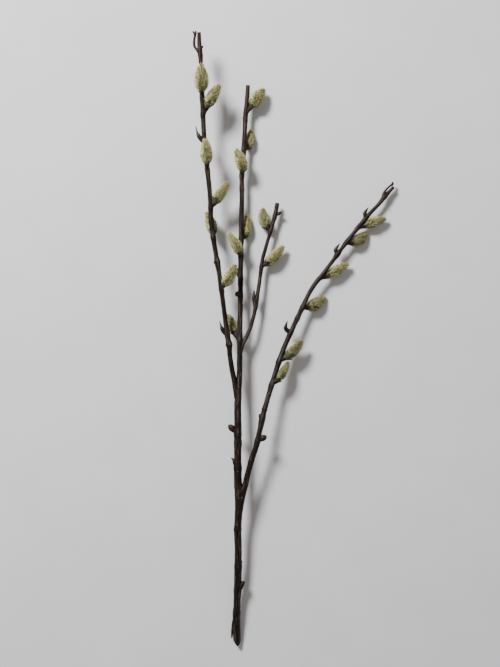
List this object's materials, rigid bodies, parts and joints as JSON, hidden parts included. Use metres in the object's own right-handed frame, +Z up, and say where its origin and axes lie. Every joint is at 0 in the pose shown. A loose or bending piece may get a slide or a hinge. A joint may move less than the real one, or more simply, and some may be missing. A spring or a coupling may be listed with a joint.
{
  "type": "willow branch",
  "caption": "Cut willow branch in catkin, lying down: a forked stem of dark bark with buds and side twigs, bearing fuzzy pale green catkins on short spurs.",
  "frame": {"origin": "on the surface that the branch lies on, under the middle of its outline", "axes": "+Y along the branch from the broken end towards the tips, +Z up from the surface, +X to the right as seen from above"},
  "size_m": [0.1983, 0.6007, 0.0493],
  "materials": {
    "bark": "satin",
    "silk": "matte"
  },
  "bodies": {
    "root": {"wood": "bark", "catkin_left_1": "silk", "catkin_left_2": "silk", "catkin_left_3": "silk", "catkin_left_4": "silk", "catkin_left_5": "silk", "catkin_left_6": "silk", "catkin_middle_1": "silk", "catkin_middle_2": "silk", "catkin_middle_3": "silk", "catkin_middle_4": "silk", "catkin_middle_5": "silk", "catkin_middle_6": "silk", "catkin_side_1": "silk", "catkin_side_2": "silk", "catkin_right_1": "silk", "catkin_right_2": "silk", "catkin_right_3": "silk", "catkin_right_4": "silk", "catkin_right_5": "silk", "catkin_right_6": "silk"}
  },
  "joints": []
}
